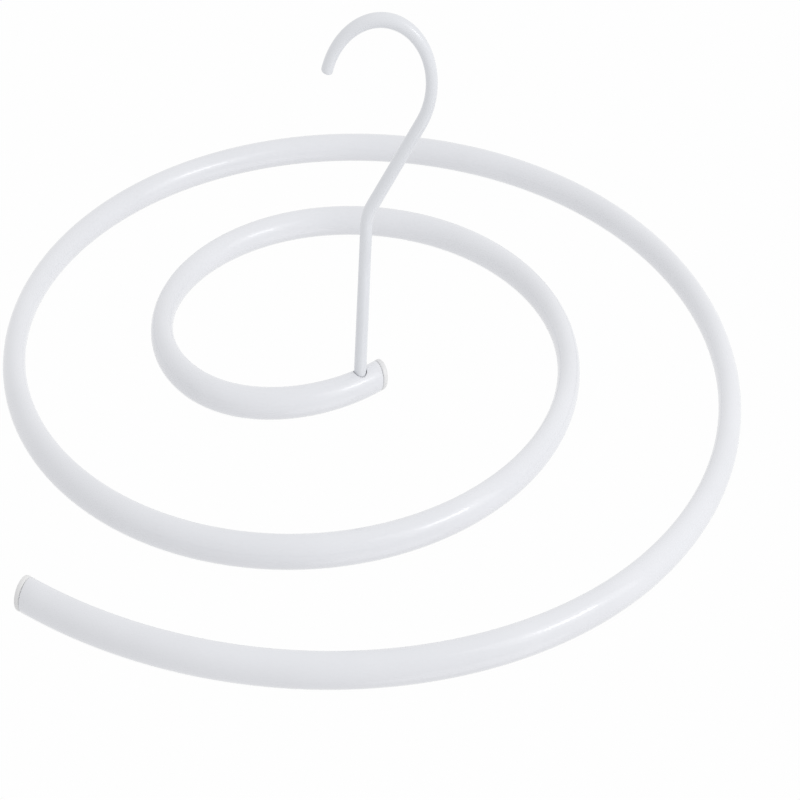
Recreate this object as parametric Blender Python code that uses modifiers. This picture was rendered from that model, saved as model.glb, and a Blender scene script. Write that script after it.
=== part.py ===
"""Spiral drying rack: a flat spiral of coated steel tube that hangs and turns under a wire hook.

Metres, +Z up. The origin is the point of the hook's inside that rests on the rail. The hook lies in the XZ
plane and opens towards -X. Seen from above, the tube winds outwards clockwise.
"""

import math

import bmesh
import bpy
from mathutils import Matrix, Vector

# The spiral tube
OVERALL_WIDTH = 0.420  # outside to outside of the tube, along X
TUBE_DIAMETER = 0.0127
TUBE_WALL = 0.001
TOTAL_TURN = math.radians(794)
START_HEADING = math.radians(219.5)  # direction of the tube where it leaves its inner end, from +X
# Radius of the tube's bend at each sixth of a turn from its inner end, as a share of the overall width
BEND_RADIUS_SHARES = (
    *(0.265, 0.14, 0.18, 0.25, 0.305, 0.32),
    *(0.365, 0.385, 0.42, 0.445, 0.51, 0.545),
    *(0.47, 0.67, 0.875),
)
TUBE_STATIONS = 131
TUBE_SIDES = 12

# The hook, a round wire
WIRE_DIAMETER = 0.007
LOOP_INSIDE_DIAMETER = 0.055
LOOP_OFFSET = 0.0035  # of the loop's centre from the stem's axis, along X
LOOP_END_ANGLE = math.radians(166.5)  # where the loop ends, from +X
NECK_HEIGHT = 0.070  # from the top of the tube to the corner where the neck leans away
NECK_LEAN = math.radians(34.5)  # from the vertical
NECK_BEND_RADIUS = 0.014  # to the wire's centreline
TIP_ROUNDING = 0.0012
ARC_STEP = math.radians(8)
WIRE_SIDES = 16

# The swivel: the wire's lower end turns in a hole in the tube's top wall, held by a washer and a nut inside
HOLE_FROM_END = 0.012  # from the tube's inner end to the hook's axis
HOLE_BORE_SHARE = 0.78  # the hole's diameter, of the tube's bore
PIVOT_CLEARANCE = 0.00055  # in the hole, all round
WASHER_LAP_SHARE = 0.6  # of the room beside the hole, inside the tube, that the washer takes
WASHER_THICKNESS = 0.0008
THREAD_BORE_SHARE = 0.39  # the thread's diameter, of the tube's bore, which makes it 4 mm
THREAD_CHAMFER = 0.0005
THREAD_BEYOND_NUT = 0.001
STEP_HEIGHT = 0.0002  # of the slopes from the thread to the pivot and from the pivot to the full wire
NUT_WIDTH_SHARE = 1.75  # across flats, of the thread's diameter
NUT_THICKNESS_SHARE = 0.55  # of the thread's diameter
NUT_CORNERS = 6
NUT_CHAMFER = math.radians(30)
FIT_CLEARANCE = 0.0003  # between pieces that touch

# The end caps, one hollow plug used twice
FLANGE_THICKNESS = 0.0033
FLANGE_ROUNDING = 0.0012
FLANGE_EDGE_BREAK = 0.0004  # chamfer of the flange's edge next to the tube
PLUG_TO_WASHER = 0.0015
PLUG_WALL = 0.0012
PLUG_NOSE = 0.0006  # chamfer of the plug's inner end
FIN_COUNT = 3
FIN_HEIGHT = 0.0008
FIN_THICKNESS_SHARE = 0.28  # of the fins' spacing
FIN_SLOPE_SHARE = 0.18  # of the fins' spacing, for each fin's leading face

TURNED_STEPS = 32
ROUNDING_STEPS = 3
CUT_OVERRUN = 0.002
MERGE_DISTANCE = 0.00001
SHARP_EDGE = math.radians(40)

# Finishes: name, colour, roughness, metallic
WHITE_COAT = ("white_coat", (0.84, 0.84, 0.88), 0.22, 0.0)
WHITE_PLASTIC = ("white_plastic", (0.84, 0.84, 0.85), 0.38, 0.0)
ZINC_PLATE = ("zinc_plate", (0.62, 0.63, 0.65), 0.35, 1.0)

QUARTER_TURN = math.pi / 2
SIXTH_TURN = math.pi / 3
TUBE_RADIUS = TUBE_DIAMETER / 2
BORE_RADIUS = TUBE_RADIUS * math.cos(math.pi / TUBE_SIDES) - TUBE_WALL  # to the flats of the bore's facets
BORE_ROOM = BORE_RADIUS - FIT_CLEARANCE
WIRE_RADIUS = WIRE_DIAMETER / 2
LOOP_RADIUS = LOOP_INSIDE_DIAMETER / 2 + WIRE_RADIUS
THREAD_RADIUS = BORE_RADIUS * THREAD_BORE_SHARE
ON_THREAD_RADIUS = THREAD_RADIUS + FIT_CLEARANCE
HOLE_RADIUS = BORE_RADIUS * HOLE_BORE_SHARE
PIVOT_RADIUS = HOLE_RADIUS - PIVOT_CLEARANCE
WASHER_RADIUS = HOLE_RADIUS + (BORE_ROOM - HOLE_RADIUS) * WASHER_LAP_SHARE
NUT_FLAT_RADIUS = THREAD_RADIUS * NUT_WIDTH_SHARE
NUT_CORNER_RADIUS = NUT_FLAT_RADIUS / math.cos(math.pi / NUT_CORNERS)
PLUG_LENGTH = HOLE_FROM_END - WASHER_RADIUS - PLUG_TO_WASHER

# Heights over the tube's centreline. The washer's rim bears on the bore's curved top.
WASHER_TOP = math.sqrt(BORE_ROOM**2 - WASHER_RADIUS**2)
WASHER_BOTTOM = WASHER_TOP - WASHER_THICKNESS
SHOULDER = WASHER_TOP + FIT_CLEARANCE
NUT_TOP = WASHER_BOTTOM - FIT_CLEARANCE
NUT_BOTTOM = NUT_TOP - 2 * THREAD_RADIUS * NUT_THICKNESS_SHARE
THREAD_END = NUT_BOTTOM - THREAD_BEYOND_NUT
PIVOT_END = TUBE_RADIUS + FIT_CLEARANCE  # where the full wire starts, just over the tube

# The slanted neck runs tangent into the loop, which sets how high the loop stands over the neck's corner
LOOP_OVER_CORNER = (LOOP_RADIUS + LOOP_OFFSET * math.cos(NECK_LEAN)) / math.sin(NECK_LEAN)
LOOP_CENTRE = Vector((0, 0, -LOOP_INSIDE_DIAMETER / 2))
NECK_CORNER = Vector((-LOOP_OFFSET, 0, LOOP_CENTRE.z - LOOP_OVER_CORNER))
SWIVEL = NECK_CORNER - Vector((0, 0, NECK_HEIGHT + TUBE_RADIUS))  # where the hook's axis meets the tube's


def bend_radius(turned_by):
    """Radius of the tube's bend once it has turned by this angle, as a share of the overall width."""
    place = turned_by / SIXTH_TURN
    before = min(int(place), len(BEND_RADIUS_SHARES) - 2)
    low, high = BEND_RADIUS_SHARES[before : before + 2]
    return low + (high - low) * (place - before)


def point_along(points, distance):
    """The point at this distance along a line of points."""
    for start, end in zip(points, points[1:]):
        length = (end - start).length
        if distance <= length:
            return start.lerp(end, distance / length)
        distance -= length
    return points[-1]


def spiral_centreline():
    """The tube's centreline from its inner end, about the point where the hook's axis crosses it."""
    step = TOTAL_TURN / (TUBE_STATIONS - 1)
    point = Vector((0, 0, 0))
    points = [point]
    for index in range(TUBE_STATIONS - 1):
        turned_by = (index + 0.5) * step
        heading = START_HEADING - turned_by
        length = bend_radius(turned_by) * step
        point = point + length * Vector((math.cos(heading), math.sin(heading), 0))
        points.append(point)
    width = max(p.x for p in points) - min(p.x for p in points)
    scale = (OVERALL_WIDTH - TUBE_DIAMETER) / width
    points = [p * scale for p in points]
    hole = point_along(points, HOLE_FROM_END)
    return [p - hole for p in points]


def arc(centre, radius, first, last):
    """Points of a circle in the XZ plane, from one angle to another."""
    steps = round(abs(last - first) / ARC_STEP)
    angles = [first + (last - first) * index / steps for index in range(steps + 1)]
    return [centre + radius * Vector((math.cos(a), 0, math.sin(a))) for a in angles]


def hook_path():
    """(point, radius) along the wire, from its threaded end up to its tip."""
    steps = [
        (THREAD_END, THREAD_RADIUS - THREAD_CHAMFER),
        (THREAD_END + THREAD_CHAMFER, THREAD_RADIUS),
        (SHOULDER, THREAD_RADIUS),
        (SHOULDER + STEP_HEIGHT, PIVOT_RADIUS),
        (PIVOT_END, PIVOT_RADIUS),
        (PIVOT_END + STEP_HEIGHT, WIRE_RADIUS),
    ]
    path = [(SWIVEL + Vector((0, 0, height)), radius) for height, radius in steps]
    bend_drop = NECK_BEND_RADIUS * math.tan(NECK_LEAN / 2)
    bend_centre = NECK_CORNER + Vector((NECK_BEND_RADIUS, 0, -bend_drop))
    bend = arc(bend_centre, NECK_BEND_RADIUS, math.pi, math.pi - NECK_LEAN)
    loop = arc(LOOP_CENTRE, LOOP_RADIUS, -NECK_LEAN, LOOP_END_ANGLE)
    path += [(point, WIRE_RADIUS) for point in bend + loop]
    forward = Vector((-math.sin(LOOP_END_ANGLE), 0, math.cos(LOOP_END_ANGLE)))
    for index in range(1, ROUNDING_STEPS + 1):
        angle = QUARTER_TURN * index / ROUNDING_STEPS
        point = loop[-1] + forward * TIP_ROUNDING * math.sin(angle)
        path.append((point, WIRE_RADIUS - TIP_ROUNDING * (1 - math.cos(angle))))
    return path


def plug_profile():
    """(radius, height) down an end cap's outside and up its hollow, with the tube's end face at height 0."""
    seat = FIT_CLEARANCE
    top = seat + FLANGE_THICKNESS
    profile = [(0, top)]
    for index in range(ROUNDING_STEPS + 1):
        angle = QUARTER_TURN * index / ROUNDING_STEPS
        radius = TUBE_RADIUS - FLANGE_ROUNDING * (1 - math.sin(angle))
        profile.append((radius, top - FLANGE_ROUNDING * (1 - math.cos(angle))))
    core_radius = BORE_ROOM - FIN_HEIGHT
    profile += [
        (TUBE_RADIUS, seat + FLANGE_EDGE_BREAK),
        (TUBE_RADIUS - FLANGE_EDGE_BREAK, seat),
        (core_radius, seat),
    ]
    pitch = (PLUG_LENGTH - PLUG_NOSE) / FIN_COUNT
    for index in range(FIN_COUNT):
        start = -pitch * (index + 0.5)
        edge = start - pitch * FIN_THICKNESS_SHARE
        profile += [
            (core_radius, start),
            (BORE_ROOM, start),
            (BORE_ROOM, edge),
            (core_radius, edge - pitch * FIN_SLOPE_SHARE),
        ]
    profile += [
        (core_radius, PLUG_NOSE - PLUG_LENGTH),
        (core_radius - PLUG_NOSE, -PLUG_LENGTH),
        (core_radius - PLUG_WALL, -PLUG_LENGTH),
        (core_radius - PLUG_WALL, 0),
        (0, 0),
    ]
    return profile


def washer_profile():
    """(radius, height) round the section of the washer."""
    return [
        (ON_THREAD_RADIUS, WASHER_TOP),
        (WASHER_RADIUS, WASHER_TOP),
        (WASHER_RADIUS, WASHER_BOTTOM),
        (ON_THREAD_RADIUS, WASHER_BOTTOM),
    ]


def nut_blank_profile():
    """(radius, height) down the outside of the turned blank that the nut's flats are cut on."""
    reach = NUT_CORNER_RADIUS + FIT_CLEARANCE
    drop = (reach - NUT_FLAT_RADIUS) * math.tan(NUT_CHAMFER)
    return [
        (0, NUT_TOP),
        (NUT_FLAT_RADIUS, NUT_TOP),
        (reach, NUT_TOP - drop),
        (reach, NUT_BOTTOM + drop),
        (NUT_FLAT_RADIUS, NUT_BOTTOM),
        (0, NUT_BOTTOM),
    ]


def material(finish):
    """The finish's Principled BSDF material, made once."""
    name, colour, roughness, metallic = finish
    if name in bpy.data.materials:
        return bpy.data.materials[name]
    made = bpy.data.materials.new(name)
    made.use_nodes = True
    shader = made.node_tree.nodes["Principled BSDF"]
    shader.inputs["Base Color"].default_value = (*colour, 1)
    shader.inputs["Roughness"].default_value = roughness
    shader.inputs["Metallic"].default_value = metallic
    return made


def new_collection(name):
    made = bpy.data.collections.new(name)
    bpy.context.scene.collection.children.link(made)
    return made


def new_object(name, data, collection, parent=None):
    """An object with this mesh or curve, or an empty where there is none."""
    made = bpy.data.objects.new(name, data)
    made.parent = parent
    collection.objects.link(made)
    return made


def new_piece(name, data, finish, parent=None):
    data.materials.append(material(finish))
    return new_object(name, data, rack, parent)


def evaluated_mesh(guide):
    """The mesh that this object makes, closed where points meet. The object is removed."""
    graph = bpy.context.evaluated_depsgraph_get()
    mesh = bpy.data.meshes.new_from_object(guide.evaluated_get(graph))
    bpy.data.objects.remove(guide)
    surface = bmesh.new()
    surface.from_mesh(mesh)
    bmesh.ops.remove_doubles(surface, verts=surface.verts, dist=MERGE_DISTANCE)
    surface.to_mesh(mesh)
    surface.free()
    mesh.shade_smooth()
    mesh.set_sharp_from_angle(angle=SHARP_EDGE)
    return mesh


def round_curve(name, path, sides, capped):
    """A curve of round section along a path of (point, radius)."""
    curve = bpy.data.curves.new(name, "CURVE")
    curve.dimensions = "3D"
    curve.bevel_depth = 1
    curve.bevel_resolution = sides // 2 - 2
    curve.use_fill_caps = capped
    spline = curve.splines.new("POLY")
    spline.points.add(len(path) - 1)
    for target, (point, radius) in zip(spline.points, path):
        target.co = (*point, 1)
        target.radius = radius
    return curve


def turned_mesh(name, profile, ring=False):
    """A profile of (radius, height) revolved about Z. A ring's profile closes on itself."""
    mesh = bpy.data.meshes.new(name)
    edges = [(index, index + 1) for index in range(len(profile) - 1)]
    if ring:
        edges.append((len(profile) - 1, 0))
    mesh.from_pydata([(radius, 0, height) for radius, height in profile], edges, [])
    guide = new_object(name, mesh, cutters)
    screw = guide.modifiers.new("revolve", "SCREW")
    screw.steps = TURNED_STEPS
    screw.render_steps = TURNED_STEPS
    screw.use_merge_vertices = True
    screw.merge_threshold = MERGE_DISTANCE
    return evaluated_mesh(guide)


def cutter(name, radius, low, high, corners=TURNED_STEPS):
    """A hidden prism on the hook's axis, between two heights over the tube's centreline."""
    shape = bmesh.new()
    bmesh.ops.create_cone(
        shape, cap_ends=True, segments=corners, radius1=radius, radius2=radius, depth=high - low
    )
    mesh = bpy.data.meshes.new(name)
    shape.to_mesh(mesh)
    shape.free()
    made = new_object(name, mesh, cutters)
    made.location = SWIVEL + Vector((0, 0, (low + high) / 2))
    made.hide_render = True
    made.display_type = "WIRE"
    return made


def add_boolean(piece, operation, other):
    change = piece.modifiers.new(other.name, "BOOLEAN")
    change.operation = operation
    change.solver = "EXACT"
    change.object = other


def make_spiral_tube(parent, centreline):
    """The bent tube, open at both ends, with the hook's hole through its top wall."""
    path = [(point, TUBE_RADIUS) for point in centreline]
    curve = round_curve("spiral_tube", path, TUBE_SIDES, capped=False)
    skin = evaluated_mesh(new_object("spiral_tube_guide", curve, cutters))
    tube = new_piece("spiral_tube", skin, WHITE_COAT, parent)
    wall = tube.modifiers.new("wall", "SOLIDIFY")
    wall.thickness = TUBE_WALL
    wall.offset = -1
    wall.use_even_offset = True
    add_boolean(tube, "DIFFERENCE", cutter("hook_hole", HOLE_RADIUS, 0, TUBE_RADIUS + CUT_OVERRUN))


def make_end_cap(name, parent, end, outward):
    """A plug whose flange closes the tube's end, set at the end's centre and facing outward."""
    cap = new_piece(name, turned_mesh(name, plug_profile()), WHITE_PLASTIC, parent)
    turn = Vector((0, 0, 1)).rotation_difference(outward)
    cap.matrix_basis = Matrix.LocRotScale(end, turn, None)


def make_hook():
    """The wire, bent in one plane, with its end turned down for the hole and the thread."""
    curve = round_curve("hook", hook_path(), WIRE_SIDES, capped=True)
    new_piece("hook", curve, WHITE_COAT)


def make_washer(parent):
    """The washer that bears on the inside of the tube's top wall."""
    mesh = turned_mesh("retaining_washer", washer_profile(), ring=True)
    new_piece("retaining_washer", mesh, ZINC_PLATE, parent)


def make_nut(parent):
    """The thin hexagon nut, chamfered on both faces, that keeps the washer on the thread."""
    nut = new_piece("lock_nut", turned_mesh("lock_nut", nut_blank_profile()), ZINC_PLATE, parent)
    low, high = NUT_BOTTOM - CUT_OVERRUN, NUT_TOP + CUT_OVERRUN
    add_boolean(nut, "INTERSECT", cutter("nut_flats", NUT_CORNER_RADIUS, low, high, NUT_CORNERS))
    add_boolean(nut, "DIFFERENCE", cutter("nut_bore", ON_THREAD_RADIUS, low, high))


for old in list(bpy.data.objects):
    bpy.data.objects.remove(old)
rack = new_collection("spiral_drying_rack")
cutters = new_collection("cutters")

line = spiral_centreline()
turning_part = new_object("turning_part", None, rack)
turning_part.location = SWIVEL
make_spiral_tube(turning_part, line)
make_end_cap("inner_end_cap", turning_part, line[0], (line[0] - line[1]).normalized())
make_end_cap("outer_end_cap", turning_part, line[-1], (line[-1] - line[-2]).normalized())

thread = new_object("thread", None, rack)
thread.location = SWIVEL
make_hook()
make_washer(thread)
make_nut(thread)
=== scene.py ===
"""Looks of the spiral drying rack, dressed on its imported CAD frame.

Metres, +Z up. The origin is the point of the hook's inside that rests on the rail.
"""

import math

import bmesh
import bpy
from mathutils import Matrix, Vector
from mathutils.geometry import interpolate_bezier


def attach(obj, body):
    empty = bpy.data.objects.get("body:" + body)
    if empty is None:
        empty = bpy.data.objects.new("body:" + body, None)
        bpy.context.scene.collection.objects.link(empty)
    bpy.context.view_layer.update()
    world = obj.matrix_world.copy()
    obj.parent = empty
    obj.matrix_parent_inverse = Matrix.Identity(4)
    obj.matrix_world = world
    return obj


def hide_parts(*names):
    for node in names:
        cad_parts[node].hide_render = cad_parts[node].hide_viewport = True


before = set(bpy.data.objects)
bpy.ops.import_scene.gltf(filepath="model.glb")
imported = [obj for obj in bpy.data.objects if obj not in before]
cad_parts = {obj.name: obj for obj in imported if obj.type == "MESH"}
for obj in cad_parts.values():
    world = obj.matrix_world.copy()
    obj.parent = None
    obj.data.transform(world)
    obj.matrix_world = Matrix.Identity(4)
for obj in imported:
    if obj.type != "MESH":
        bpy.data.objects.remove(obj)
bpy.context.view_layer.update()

# The spiral tube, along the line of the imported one
TUBE_DIAMETER = 0.0127
TUBE_WALL = 0.001
TUBE_SIDES = 48
TUBE_RIM = 0.0004  # rounding of the edges at both ends
RIM_STEPS = 3
RIM_ANGLE = math.radians(50)  # only edges sharper than this are rounded
KEEL_DEPTH = 0.00005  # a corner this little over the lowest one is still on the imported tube's lowest line
STATION_MERGE = 0.00001
STEPS_BETWEEN_STATIONS = 4

# The hook's hole in the tube's top wall
SWIVEL = Vector((-0.0035, 0, -0.163673))  # where the hook's axis meets the tube's
HOLE_RADIUS = 0.0038  # the coating narrows the drilled hole
HOLE_ROUNDING = 0.0004
HOLE_SIDES = 96
HOLE_ROUNDING_STEPS = 6
HOLE_CLEAR_SHARE = 0.5  # of the rounding, by which the cutter reaches past it
HOLE_LIFT_SHARE = 0.25  # of the rounding, by which the cutter rises over the skin there

# The hook, a round wire
WIRE_DIAMETER = 0.007
LOOP_INSIDE_DIAMETER = 0.055
LOOP_OFFSET = 0.0035  # of the loop's centre from the stem's axis, along X
LOOP_END_ANGLE = math.radians(166.5)  # where the loop ends, from +X
NECK_LEAN = math.radians(34.5)  # from the vertical
NECK_BEND_RADIUS = 0.014  # to the wire's centreline
TIP_ROUNDING = 0.0009
ARC_STEP = math.radians(1.5)
WIRE_SIDES = 48

# The hook's turned-down end. The heights are over the tube's centreline.
PIVOT_RADIUS = 0.00345
PIVOT_END = 0.00665  # where the slope up to the full wire starts
WIRE_SLOPE_HEIGHT = 0.0005
SHOULDER = 0.00206  # the pivot's lower face
SHOULDER_ROUNDING = 0.0004
SHOULDER_CORNER = 0.0001  # height and depth of the point between the face and the pivot's side
THREAD_END = -0.00254
THREAD_RADIUS = 0.002
THREAD_PITCH = 0.0007
THREAD_DEPTH_SHARE = 0.6  # of the pitch
THREAD_FLAT_SHARE = 0.125  # widens the flats of the thread's crest and root
THREAD_OVERLAP = 0.0001  # of the thread into the pivot
THREAD_LEAD_HEIGHT = 0.0006
THREAD_LEAD_DEPTH = 0.0004
THREAD_SIDES = 48
THREAD_ROWS = 60

# The end caps
FIT_CLEARANCE = 0.0003
FLANGE_THICKNESS = 0.0033
FLANGE_ROUNDING = 0.0013
FLANGE_EDGE_BREAK = 0.0009  # rounding of the flange's edge next to the tube
PLUG_RADIUS = 0.0048  # over the fins
PLUG_CORE = 0.0040
PLUG_LENGTH = 0.006
PLUG_WALL = 0.0012
PLUG_NOSE = 0.0006  # chamfer of the plug's inner end
FIN_COUNT = 3
FIN_THICKNESS = 0.0005
FIN_SLOPE = 0.0003
TURNED_STEPS = 96

# The camera. The photograph is stretched upwards, as by an image plane that leans back, so its downward
# direction isn't square to the line of sight. Each direction is a turn from +Y towards +X, and a rise, in
# degrees.
CAMERA_AT = Vector((-0.0193, -1.9765, 0.8846))
LINE_OF_SIGHT = (1.13, -28.09)
PICTURE_RIGHT = (91.54, 0.85)
PICTURE_DOWN = (8.29, -71.75)
PHOTO_SIZE = 800
FOCAL_PIXELS = 3971.6
SENSOR_WIDTH = 36  # in millimetres
NEAREST_SEEN = 0.05
FARTHEST_SEEN = 60

# The setting
FLOOR_REACH = 12.0
FLOOR_LEVEL = -1.6
FLOOR_ROUGHNESS = 0.9
FLOOR_WHITE_SHARE = 0.97  # of the floor's look that is plain white, where the lens, a mirror or glass sees it
WORLD_STRENGTH = 0.805  # of the light on the object
LIT_POINT = Vector((0, 0, -0.16))

MERGE_DISTANCE = 0.000001
QUARTER_TURN = math.pi / 2
ROUNDING_STEPS = 8
EDGE_BREAK_STEPS = 4
SHARP_EDGE = 35  # in degrees
SHARP_THREAD_EDGE = 30
NOISE_RANGE = (0.3, 0.7)  # where nearly all of a noise's values lie

# Sockets of the Mix node for colours
MIX_FACTOR, MIX_FIRST, MIX_SECOND, MIX_RESULT = 0, 6, 7, 2


# Shapes


def packed_stations():
    """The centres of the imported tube's sections from its inner end, read along its lowest line of corners."""
    surface = bmesh.new()
    surface.from_mesh(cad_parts["spiral_tube"].data)
    bmesh.ops.remove_doubles(surface, verts=surface.verts, dist=STATION_MERGE)
    lowest = min(corner.co.z for corner in surface.verts)
    keel = {corner for corner in surface.verts if corner.co.z < lowest + KEEL_DEPTH}
    beside = {}
    for corner in keel:
        others = [edge.other_vert(corner) for edge in corner.link_edges]
        beside[corner] = [other for other in others if other in keel]
    ends = [corner for corner in keel if len(beside[corner]) == 1]
    here = min(ends, key=lambda corner: (corner.co - SWIVEL).length)
    before = None
    stations = []
    while here is not None:
        stations.append(Vector((here.co.x, here.co.y, SWIVEL.z)))
        onward = [corner for corner in beside[here] if corner != before]
        before = here
        here = onward[0] if onward else None
    surface.free()
    return stations


def spiral_centreline():
    """The tube's centreline from its inner end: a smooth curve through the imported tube's stations.

    Each handle is a sixth of the way between the neighbours on both sides. A point past each end, where
    the line would go on, stands for the neighbour that is missing there.
    """
    stations = packed_stations()
    lead = 3 * stations[0] - 3 * stations[1] + stations[2]
    trail = 3 * stations[-1] - 3 * stations[-2] + stations[-3]
    run = [lead, *stations, trail]
    points = []
    for before, start, end, after in zip(run, run[1:], run[2:], run[3:]):
        leave = start + (end - before) / 6
        arrive = end - (after - start) / 6
        points += interpolate_bezier(start, leave, arrive, end, STEPS_BETWEEN_STATIONS + 1)[:-1]
    return [*points, stations[-1]]


def quarter_turn(steps):
    """Angles from nothing to a quarter turn."""
    return [QUARTER_TURN * index / steps for index in range(steps + 1)]


def arc(centre, radius, first, last):
    """Points of a circle in the XZ plane, from one angle to another."""
    steps = round(abs(last - first) / ARC_STEP)
    angles = [first + (last - first) * index / steps for index in range(steps + 1)]
    return [centre + radius * Vector((math.cos(angle), 0, math.sin(angle))) for angle in angles]


def wire_path():
    """(point, radius) along the coated wire, from the pivot's lower face up to the tip."""
    wire_radius = WIRE_DIAMETER / 2
    loop_radius = LOOP_INSIDE_DIAMETER / 2 + wire_radius
    over_corner = (loop_radius + LOOP_OFFSET * math.cos(NECK_LEAN)) / math.sin(NECK_LEAN)
    loop_centre = Vector((0, 0, -LOOP_INSIDE_DIAMETER / 2))
    corner = Vector((-LOOP_OFFSET, 0, loop_centre.z - over_corner))
    steps = [
        (SHOULDER, PIVOT_RADIUS - SHOULDER_ROUNDING),
        (SHOULDER + SHOULDER_CORNER, PIVOT_RADIUS - SHOULDER_CORNER),
        (SHOULDER + SHOULDER_ROUNDING, PIVOT_RADIUS),
        (PIVOT_END, PIVOT_RADIUS),
        (PIVOT_END + WIRE_SLOPE_HEIGHT, wire_radius),
    ]
    path = [(SWIVEL + Vector((0, 0, height)), radius) for height, radius in steps]
    drop = NECK_BEND_RADIUS * math.tan(NECK_LEAN / 2)
    bend_centre = corner + Vector((NECK_BEND_RADIUS, 0, -drop))
    bend = arc(bend_centre, NECK_BEND_RADIUS, math.pi, math.pi - NECK_LEAN)
    loop = arc(loop_centre, loop_radius, -NECK_LEAN, LOOP_END_ANGLE)
    path += [(point, wire_radius) for point in bend + loop]
    forward = Vector((-math.sin(LOOP_END_ANGLE), 0, math.cos(LOOP_END_ANGLE)))
    for angle in quarter_turn(ROUNDING_STEPS)[1:]:
        point = loop[-1] + forward * TIP_ROUNDING * math.sin(angle)
        path.append((point, wire_radius - TIP_ROUNDING * (1 - math.cos(angle))))
    return path


def new_object(name, data):
    made = bpy.data.objects.new(name, data)
    bpy.context.scene.collection.objects.link(made)
    return made


def to_mesh(guide):
    """The mesh that this object makes, closed where points meet. The object is removed."""
    graph = bpy.context.evaluated_depsgraph_get()
    mesh = bpy.data.meshes.new_from_object(guide.evaluated_get(graph))
    bpy.data.objects.remove(guide)
    surface = bmesh.new()
    surface.from_mesh(mesh)
    bmesh.ops.remove_doubles(surface, verts=surface.verts, dist=MERGE_DISTANCE)
    bmesh.ops.recalc_face_normals(surface, faces=surface.faces)
    surface.to_mesh(mesh)
    surface.free()
    return mesh


def round_mesh(name, path, sides, capped):
    """A mesh of round section along a path of (point, radius)."""
    curve = bpy.data.curves.new(name, "CURVE")
    curve.dimensions = "3D"
    curve.bevel_depth = 1
    curve.bevel_resolution = sides // 2 - 2  # Blender makes two sides for each step of this, and four more
    curve.use_fill_caps = capped
    spline = curve.splines.new("POLY")
    spline.points.add(len(path) - 1)
    for target, (point, radius) in zip(spline.points, path):
        target.co = (*point, 1)
        target.radius = radius
    return to_mesh(new_object(name, curve))


def turned_mesh(name, profile):
    """A profile of (radius, height) revolved about Z."""
    mesh = bpy.data.meshes.new(name)
    edges = [(index, index + 1) for index in range(len(profile) - 1)]
    mesh.from_pydata([(radius, 0, height) for radius, height in profile], edges, [])
    guide = new_object(name, mesh)
    screw = guide.modifiers.new("revolve", "SCREW")
    screw.steps = TURNED_STEPS
    screw.render_steps = TURNED_STEPS
    screw.use_merge_vertices = True
    screw.merge_threshold = MERGE_DISTANCE
    return to_mesh(guide)


def smooth(mesh, degrees=SHARP_EDGE):
    mesh.shade_smooth()
    mesh.set_sharp_from_angle(angle=math.radians(degrees))


def hole_ring(angle, along):
    """Points up the side of the hole's cutter at one angle, where it rounds the edge over into the skin."""
    skin_radius = TUBE_DIAMETER / 2
    brim = HOLE_RADIUS + HOLE_ROUNDING
    outward = Vector((math.cos(angle), math.sin(angle), 0))
    across = outward.cross(along).z
    skin = math.sqrt(skin_radius**2 - (brim * across) ** 2)
    slope = brim * across**2 / skin
    corner = skin + slope * HOLE_ROUNDING
    profile = [(HOLE_RADIUS, 0)]
    for index in range(HOLE_ROUNDING_STEPS + 1):
        share = index / HOLE_ROUNDING_STEPS
        radius = HOLE_RADIUS + HOLE_ROUNDING * share**2
        low = (1 - share) ** 2 * (corner - HOLE_ROUNDING)
        profile.append((radius, low + 2 * share * (1 - share) * corner + share**2 * skin))
    past = HOLE_ROUNDING * HOLE_CLEAR_SHARE
    profile.append((brim + past, skin - slope * past + HOLE_ROUNDING * HOLE_LIFT_SHARE))
    profile.append((brim + past, skin_radius + HOLE_ROUNDING))
    return [outward * radius + Vector((0, 0, height)) for radius, height in profile]


def hole_cutter(line):
    """What the hook's hole takes out of the tube: a bore whose edge is rounded over into the tube's skin."""
    nearest = min(range(1, len(line)), key=lambda index: (line[index] - SWIVEL).length)
    along = (line[nearest] - line[nearest - 1]).normalized()
    rings = [hole_ring(2 * math.pi * side / HOLE_SIDES, along) for side in range(HOLE_SIDES)]
    deep = len(rings[0])
    faces = []
    for side in range(HOLE_SIDES):
        here = side * deep
        there = (side + 1) % HOLE_SIDES * deep
        for index in range(deep - 1):
            faces.append((here + index, there + index, there + index + 1, here + index + 1))
    faces.append([side * deep for side in reversed(range(HOLE_SIDES))])
    faces.append([side * deep + deep - 1 for side in range(HOLE_SIDES)])
    mesh = bpy.data.meshes.new("hole")
    mesh.from_pydata([point for ring in rings for point in ring], [], faces)
    hole = new_object("hole", mesh)
    hole.location = SWIVEL
    return hole


def make_tube(line):
    """The bent tube, open at both ends, with the hook's hole through its top wall."""
    path = [(point, TUBE_DIAMETER / 2) for point in line]
    guide = new_object("tube", round_mesh("tube", path, TUBE_SIDES, False))
    wall = guide.modifiers.new("wall", "SOLIDIFY")
    wall.thickness = TUBE_WALL
    wall.offset = -1
    wall.use_even_offset = True
    rim = guide.modifiers.new("rim", "BEVEL")
    rim.width = TUBE_RIM
    rim.segments = RIM_STEPS
    rim.limit_method = "ANGLE"
    rim.angle_limit = RIM_ANGLE
    hole = hole_cutter(line)
    cut = guide.modifiers.new("hole", "BOOLEAN")
    cut.operation = "DIFFERENCE"
    cut.solver = "EXACT"
    cut.object = hole
    bpy.context.view_layer.update()
    mesh = to_mesh(guide)
    bpy.data.objects.remove(hole)
    smooth(mesh)
    return new_object("tube", mesh)


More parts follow.
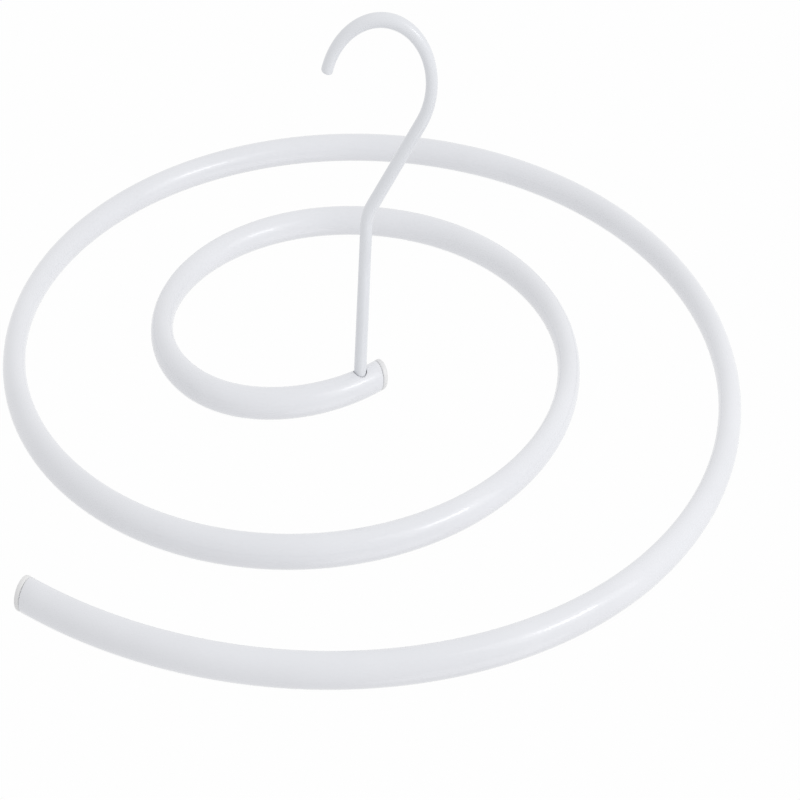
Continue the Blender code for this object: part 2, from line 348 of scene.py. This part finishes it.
def cap_profile():
    """(radius, height) down an end cap's outside and up its hollow, with the tube's end face at height 0."""
    radius = TUBE_DIAMETER / 2
    top = FIT_CLEARANCE + FLANGE_THICKNESS
    profile = [(0, top)]
    for angle in quarter_turn(ROUNDING_STEPS):
        inset = FLANGE_ROUNDING * (1 - math.sin(angle))
        profile.append((radius - inset, top - FLANGE_ROUNDING * (1 - math.cos(angle))))
    for angle in quarter_turn(EDGE_BREAK_STEPS):
        inset = FLANGE_EDGE_BREAK * (1 - math.cos(angle))
        profile.append((radius - inset, FIT_CLEARANCE + FLANGE_EDGE_BREAK * (1 - math.sin(angle))))
    profile.append((PLUG_CORE, FIT_CLEARANCE))
    pitch = (PLUG_LENGTH - PLUG_NOSE) / FIN_COUNT
    for index in range(FIN_COUNT):
        start = -pitch * (index + 0.5)
        profile += [
            (PLUG_CORE, start),
            (PLUG_RADIUS, start),
            (PLUG_RADIUS, start - FIN_THICKNESS),
            (PLUG_CORE, start - FIN_THICKNESS - FIN_SLOPE),
        ]
    profile += [
        (PLUG_CORE, PLUG_NOSE - PLUG_LENGTH),
        (PLUG_CORE - PLUG_NOSE, -PLUG_LENGTH),
        (PLUG_CORE - PLUG_WALL, -PLUG_LENGTH),
        (PLUG_CORE - PLUG_WALL, 0),
        (0, 0),
    ]
    return profile


def make_cap(name, end, outward):
    """A plug whose flange closes the tube's end, set at the end's centre and facing outward."""
    mesh = turned_mesh(name, cap_profile())
    mesh.transform(Matrix.LocRotScale(end, Vector((0, 0, 1)).rotation_difference(outward), None))
    smooth(mesh)
    return new_object(name, mesh)


def thread_radius(turn, height):
    """The thread's radius at this share of a turn and this height over its end."""
    phase = (height / THREAD_PITCH - turn) % 1
    rise = (1 + 2 * THREAD_FLAT_SHARE) * abs(2 * phase - 1) - THREAD_FLAT_SHARE
    cut = THREAD_PITCH * THREAD_DEPTH_SHARE * min(1, max(0, rise))
    lead = 1 - min(1, height / THREAD_LEAD_HEIGHT)
    return THREAD_RADIUS - cut - THREAD_LEAD_DEPTH * lead


def make_thread():
    """The M4 thread on the hook's lower end."""
    length = SHOULDER + THREAD_OVERLAP - THREAD_END
    points = []
    faces = []
    for row in range(THREAD_ROWS + 1):
        height = length * row / THREAD_ROWS
        for side in range(THREAD_SIDES):
            turn = side / THREAD_SIDES
            radius = thread_radius(turn, height)
            angle = 2 * math.pi * turn
            points.append((radius * math.cos(angle), radius * math.sin(angle), THREAD_END + height))
    for row in range(THREAD_ROWS):
        for side in range(THREAD_SIDES):
            here = row * THREAD_SIDES + side
            there = row * THREAD_SIDES + (side + 1) % THREAD_SIDES
            faces.append((here, there, there + THREAD_SIDES, here + THREAD_SIDES))
    faces.append(tuple(reversed(range(THREAD_SIDES))))
    faces.append(tuple(THREAD_ROWS * THREAD_SIDES + side for side in range(THREAD_SIDES)))
    mesh = bpy.data.meshes.new("hook_thread")
    mesh.from_pydata(points, [], faces)
    mesh.transform(Matrix.Translation(SWIVEL))
    smooth(mesh, SHARP_THREAD_EDGE)
    return new_object("hook_thread", mesh)


# Materials


class Nodes:
    """Short calls for the node tree of a material or world."""

    def __init__(self, owner):
        owner.use_nodes = True
        self.tree = owner.node_tree

    def add(self, kind, **values):
        """A node with these properties and input values. An underscore in a name stands for a space."""
        node = self.tree.nodes.new(kind)
        for key, value in values.items():
            if hasattr(node, key):
                setattr(node, key, value)
            else:
                node.inputs[key.replace("_", " ")].default_value = value
        return node

    def link(self, out, into):
        self.tree.links.new(out, into)

    def seen_directly(self):
        """1 where the lens, a mirror or glass sees the surface, and 0 where it only lights the object."""
        path = self.add("ShaderNodeLightPath")
        result = path.outputs["Is Camera Ray"]
        for kind in ("Is Glossy Ray", "Is Transmission Ray"):
            larger = self.add("ShaderNodeMath", operation="MAXIMUM")
            self.link(result, larger.inputs[0])
            self.link(path.outputs[kind], larger.inputs[1])
            result = larger.outputs[0]
        return result


class Finish(Nodes):
    """A Principled material whose patterns lie in the object's own space."""

    def __init__(self, name):
        self.material = bpy.data.materials.new(name)
        super().__init__(self.material)
        self.shader = self.tree.nodes["Principled BSDF"]
        self.place = self.add("ShaderNodeTexCoord").outputs["Object"]

    def noise(self, scale, detail):
        node = self.add("ShaderNodeTexNoise", Scale=scale, Detail=detail)
        self.link(self.place, node.inputs["Vector"])
        return node.outputs["Fac"]

    def spread(self, source, low, high):
        """A noise stretched to run from low to high."""
        least, most = NOISE_RANGE
        node = self.add("ShaderNodeMapRange", From_Min=least, From_Max=most, To_Min=low, To_Max=high)
        self.link(source, node.inputs["Value"])
        return node.outputs["Result"]

    def bump(self, source, distance, strength, after=None):
        node = self.add("ShaderNodeBump", Strength=strength, Distance=distance)
        self.link(source, node.inputs["Height"])
        if after is not None:
            self.link(after, node.inputs["Normal"])
        return node.outputs["Normal"]

    def set_shades(self, source, first, second):
        """The surface's colour: it drifts between two shades."""
        node = self.add("ShaderNodeMix", data_type="RGBA")
        node.inputs[MIX_FIRST].default_value = (*first, 1)
        node.inputs[MIX_SECOND].default_value = (*second, 1)
        self.link(self.spread(source, 0, 1), node.inputs[MIX_FACTOR])
        self.link(node.outputs[MIX_RESULT], self.shader.inputs["Base Color"])

    def set_roughness(self, source, low, high):
        self.link(self.spread(source, low, high), self.shader.inputs["Roughness"])

    def set_normal(self, normal):
        self.link(normal, self.shader.inputs["Normal"])


def white_coat(name, first, second):
    """Gloss powder coat: orange peel, and slight changes of shade and gloss along its length."""
    coat = Finish(name)
    coat.set_shades(coat.noise(scale=18, detail=3), first, second)
    coat.set_roughness(coat.noise(scale=45, detail=3), low=0.11, high=0.16)
    peel = coat.bump(coat.noise(scale=520, detail=1), distance=0.00004, strength=0.6)
    coat.set_normal(coat.bump(coat.noise(scale=60, detail=2), distance=0.0003, strength=0.3, after=peel))
    return coat.material


def white_plastic():
    """Moulded polyethylene: satin, with a fine moulded grain."""
    plastic = Finish("white_plastic_finish")
    plastic.set_shades(plastic.noise(scale=90, detail=2), (0.80, 0.80, 0.81), (0.84, 0.84, 0.84))
    plastic.set_roughness(plastic.noise(scale=700, detail=2), low=0.36, high=0.46)
    plastic.set_normal(plastic.bump(plastic.noise(scale=1600, detail=2), distance=0.00002, strength=0.4))
    return plastic.material


def zinc_plate():
    """Bright zinc plate: faint spangle and turning marks."""
    zinc = Finish("zinc_plate_finish")
    zinc.shader.inputs["Metallic"].default_value = 1.0
    zinc.set_shades(zinc.noise(scale=500, detail=3), (0.52, 0.53, 0.56), (0.68, 0.69, 0.70))
    zinc.set_roughness(zinc.noise(scale=900, detail=2), low=0.25, high=0.42)
    zinc.set_normal(zinc.bump(zinc.noise(scale=1500, detail=3), distance=0.00002, strength=0.5))
    return zinc.material


def paint(piece, material):
    piece.data.materials.clear()
    piece.data.materials.append(material)


TUBE_COAT = white_coat("tube_coat_finish", (0.805, 0.815, 0.85), (0.835, 0.845, 0.88))
WIRE_COAT = white_coat("wire_coat_finish", (0.775, 0.79, 0.825), (0.805, 0.82, 0.855))
PLASTIC = white_plastic()
ZINC = zinc_plate()

# The pieces, each riding on its body

line = spiral_centreline()
tube = make_tube(line)
paint(tube, TUBE_COAT)
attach(tube, "rack")
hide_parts("spiral_tube")

for name, node, end, before in (
    ("inner_cap", "inner_end_cap", line[0], line[1]),
    ("outer_cap", "outer_end_cap", line[-1], line[-2]),
):
    cap = make_cap(name, end, (end - before).normalized())
    paint(cap, PLASTIC)
    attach(cap, "rack")
    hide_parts(node)

wire = new_object("wire_hook", round_mesh("wire_hook", wire_path(), WIRE_SIDES, True))
smooth(wire.data)
paint(wire, WIRE_COAT)
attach(wire, "hook")
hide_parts("hook")

thread = make_thread()
paint(thread, ZINC)
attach(thread, "hook")

for name in ("retaining_washer", "lock_nut"):
    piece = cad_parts[name]
    for place in piece.material_slots:
        place.material = ZINC

# The setting


def floor_finish():
    """Pale and matt where it lights the object, and nearly plain white where it is seen."""
    finish = Finish("floor_finish")
    finish.set_shades(finish.noise(scale=0.8, detail=2), (0.84, 0.84, 0.85), (0.87, 0.87, 0.87))
    finish.shader.inputs["Roughness"].default_value = FLOOR_ROUGHNESS
    white = finish.add("ShaderNodeEmission", Strength=1.0)
    share = finish.add("ShaderNodeMath", operation="MULTIPLY")
    share.inputs[1].default_value = FLOOR_WHITE_SHARE
    finish.link(finish.seen_directly(), share.inputs[0])
    mix = finish.add("ShaderNodeMixShader")
    finish.link(share.outputs[0], mix.inputs[0])
    finish.link(finish.shader.outputs[0], mix.inputs[1])
    finish.link(white.outputs[0], mix.inputs[2])
    finish.link(mix.outputs[0], finish.tree.nodes["Material Output"].inputs["Surface"])
    return finish.material


def make_floor():
    mesh = bpy.data.meshes.new("floor")
    corners = ((-1, -1), (1, -1), (1, 1), (-1, 1))
    points = [(FLOOR_REACH * x, FLOOR_REACH * y, FLOOR_LEVEL) for x, y in corners]
    mesh.from_pydata(points, [], [(0, 1, 2, 3)])
    return new_object("floor", mesh)


def make_world():
    """A white studio: full strength where it is seen, and less where it lights the object."""
    world = bpy.data.worlds.new("studio")
    bpy.context.scene.world = world
    nodes = Nodes(world)
    back = nodes.tree.nodes["Background"]
    back.inputs["Color"].default_value = (1, 1, 1, 1)
    strength = nodes.add("ShaderNodeMapRange", To_Min=WORLD_STRENGTH, To_Max=1.0)
    nodes.link(nodes.seen_directly(), strength.inputs["Value"])
    nodes.link(strength.outputs["Result"], back.inputs["Strength"])


def soft_light(name, at, size, watts):
    """A rectangular lamp turned to the rack, whose gloss shows it. The camera doesn't see it."""
    lamp = bpy.data.lights.new(name, "AREA")
    lamp.shape = "RECTANGLE"
    lamp.size, lamp.size_y = size
    lamp.energy = watts
    made = new_object(name, lamp)
    turn = (LIT_POINT - Vector(at)).to_track_quat("-Z", "Y")
    made.matrix_world = Matrix.LocRotScale(Vector(at), turn, None)
    made.visible_camera = False


def direction(turn, rise):
    """The unit vector that turns from +Y towards +X, and rises from level, by these degrees."""
    turn = math.radians(turn)
    rise = math.radians(rise)
    return Vector((math.sin(turn) * math.cos(rise), math.cos(turn) * math.cos(rise), math.sin(rise)))


def make_camera():
    """The photograph's camera. The matrix between it and its parent leans the image plane back."""
    lens = bpy.data.cameras.new("camera")
    lens.sensor_width = SENSOR_WIDTH
    lens.lens = FOCAL_PIXELS / PHOTO_SIZE * SENSOR_WIDTH
    lens.clip_start = NEAREST_SEEN
    lens.clip_end = FARTHEST_SEEN
    camera = new_object("camera", lens)
    camera.parent = new_object("camera_rig", None)
    axes = Matrix((direction(*PICTURE_RIGHT), -direction(*PICTURE_DOWN), -direction(*LINE_OF_SIGHT)))
    camera.matrix_parent_inverse = Matrix.Translation(CAMERA_AT) @ axes.transposed().to_4x4()
    return camera


floor = make_floor()
paint(floor, floor_finish())
make_world()
soft_light("key", at=(1.77, -0.90, 1.18), size=(0.78, 0.5), watts=5.0)
soft_light("panel", at=(1.92, -0.98, 1.29), size=(1.9, 1.9), watts=9.4)
soft_light("fill", at=(0.68, -0.81, -1.22), size=(1.0, 1.0), watts=1.6)
bpy.context.scene.camera = make_camera()

bpy.context.scene.view_settings.view_transform = "Standard"
